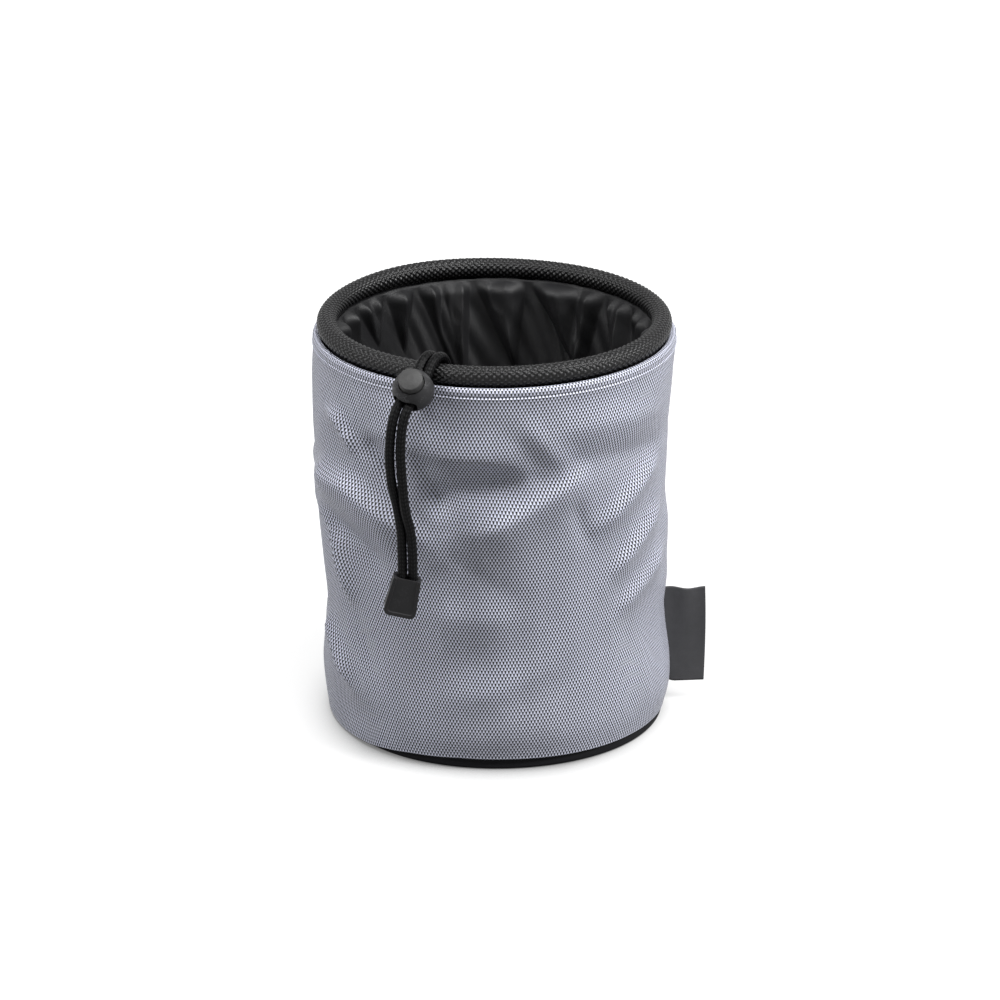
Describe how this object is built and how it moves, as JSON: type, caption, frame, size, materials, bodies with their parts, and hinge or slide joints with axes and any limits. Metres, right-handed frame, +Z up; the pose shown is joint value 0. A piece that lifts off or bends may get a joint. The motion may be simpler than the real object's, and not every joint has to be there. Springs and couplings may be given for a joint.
{
  "type": "peg bag",
  "caption": "Round soft bag for clothes pegs with a corded rim, a gathered drawstring collar tucked inside, a ball cord lock with a sprung button and a cord end.",
  "frame": {"origin": "centre of the base's underside, on the surface that the bag stands on", "axes": "+Z up through the mouth, -Y to the front where the cord lock hangs, +X to the side seam with the label"},
  "size_m": [0.1842, 0.1828, 0.1982],
  "materials": {
    "grey_weave": "coarse plain weave, grey with a lavender cast and a slight sheen",
    "black_cloth": "plain black coated cloth",
    "black_satin": "black nylon lining with a satin sheen",
    "black_braid": "tight round braid",
    "black_plastic": "moulded, fine matte grain",
    "board": "plain extruded plastic",
    "spring_wire": "drawn wire",
    "label_tape": "flat woven tape"
  },
  "bodies": {
    "bag": {"outer_shell": "grey_weave", "base_panel": "black_cloth", "base_stiffener": "board", "lining_wall": "black_satin", "lining_floor": "black_satin", "rim_rope": "black_braid", "rim_hoop": "board", "collar": "black_satin", "collar_channel": "black_satin", "drawcord_ring": "black_braid", "drawcord_left_tail": "black_braid", "drawcord_right_tail": "black_braid", "cord_end_front": "black_plastic", "cord_end_back": "black_plastic", "side_label": "label_tape"},
    "cord_lock": {"cord_lock_body": "black_plastic", "cord_lock_spring": "spring_wire"},
    "lock_button": {"cord_lock_button": "black_plastic"}
  },
  "joints": [
    {"name": "lock_run", "type": "hinge", "parent": "bag", "child": "cord_lock", "pos_m": [0.00682, -0.02835, 0.14007], "axis": [0.8066, -0.5895, 0.0427], "range_deg": [0, 50.7], "deforming": ["drawcord_left_tail", "drawcord_right_tail"]},
    {"name": "button_press", "type": "slide", "parent": "cord_lock", "child": "lock_button", "axis": [0.1031, 0.6747, -0.7308], "range_m": [0, 0.0025], "stiffness_N_per_m": 1200, "springref_m": -0.001, "deforming": ["cord_lock_spring"]}
  ]
}
